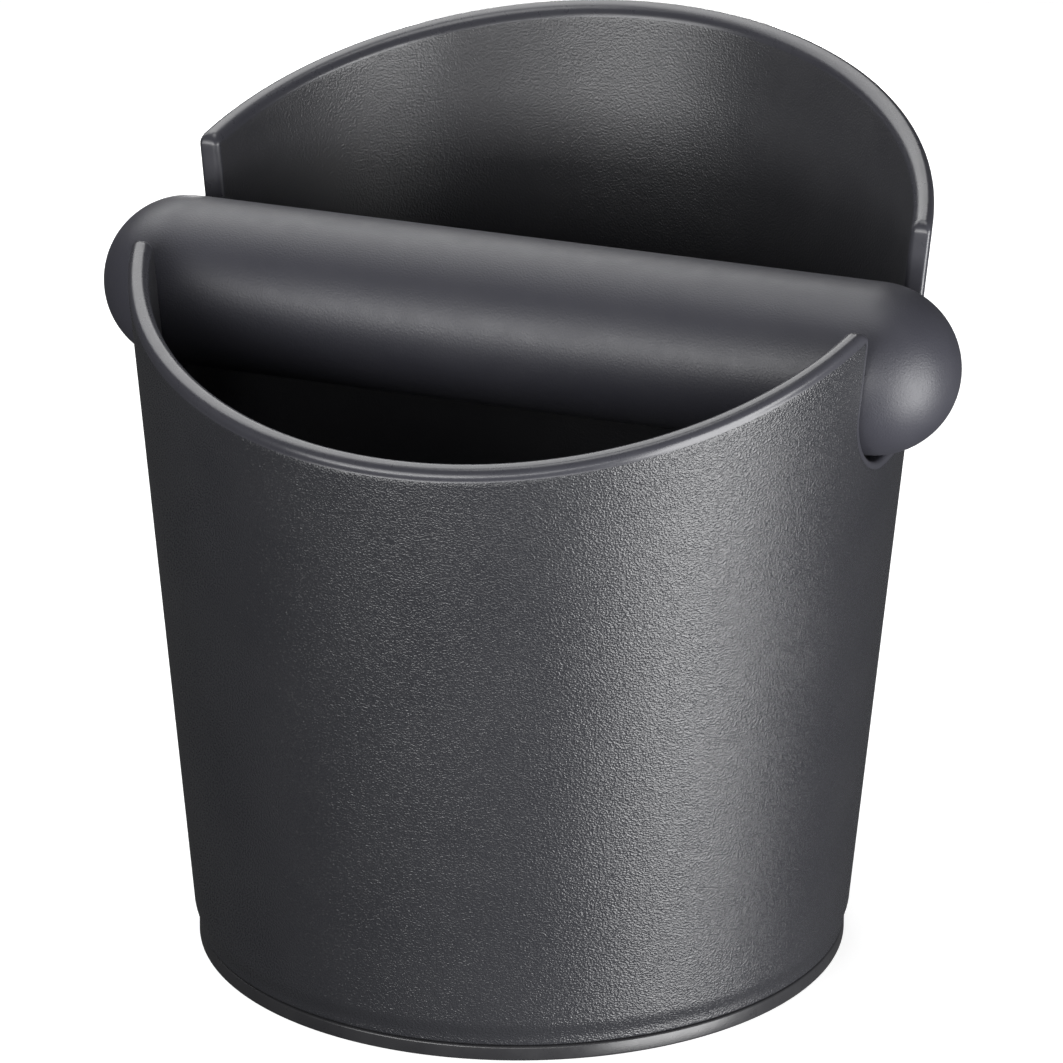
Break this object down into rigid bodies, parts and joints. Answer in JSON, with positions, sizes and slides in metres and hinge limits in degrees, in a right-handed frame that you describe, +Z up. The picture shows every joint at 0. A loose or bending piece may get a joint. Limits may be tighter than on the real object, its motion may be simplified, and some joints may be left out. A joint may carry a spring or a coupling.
{
  "type": "espresso knock box",
  "caption": "Countertop espresso knock box: a tapered oval bin with a slanted rim, a lift-out rubber knock bar across U slots, and a non-slip foot ring.",
  "frame": {"origin": "centre of the foot ring's flat underside, on the bin's axis, at the height of the surface the box stands on", "axes": "+Z up, +X along the knock bar, -Y towards the low front of the rim and +Y towards its high back"},
  "size_m": [0.1734, 0.1595, 0.1662],
  "materials": {
    "bin_plastic": "fine spark-eroded grain, smooth rim",
    "foot_rubber": "matt",
    "bar_rubber": "satin matt",
    "core_steel": "turned"
  },
  "bodies": {
    "bin": {"bin": "bin_plastic", "foot_ring": "foot_rubber"},
    "knock_bar": {"bar_sleeve": "bar_rubber", "bar_core": "core_steel"}
  },
  "joints": [
    {"name": "bar_lift", "type": "slide", "parent": "bin", "child": "knock_bar", "axis": [0, 0, 1], "range_m": [0, 0.045]}
  ]
}
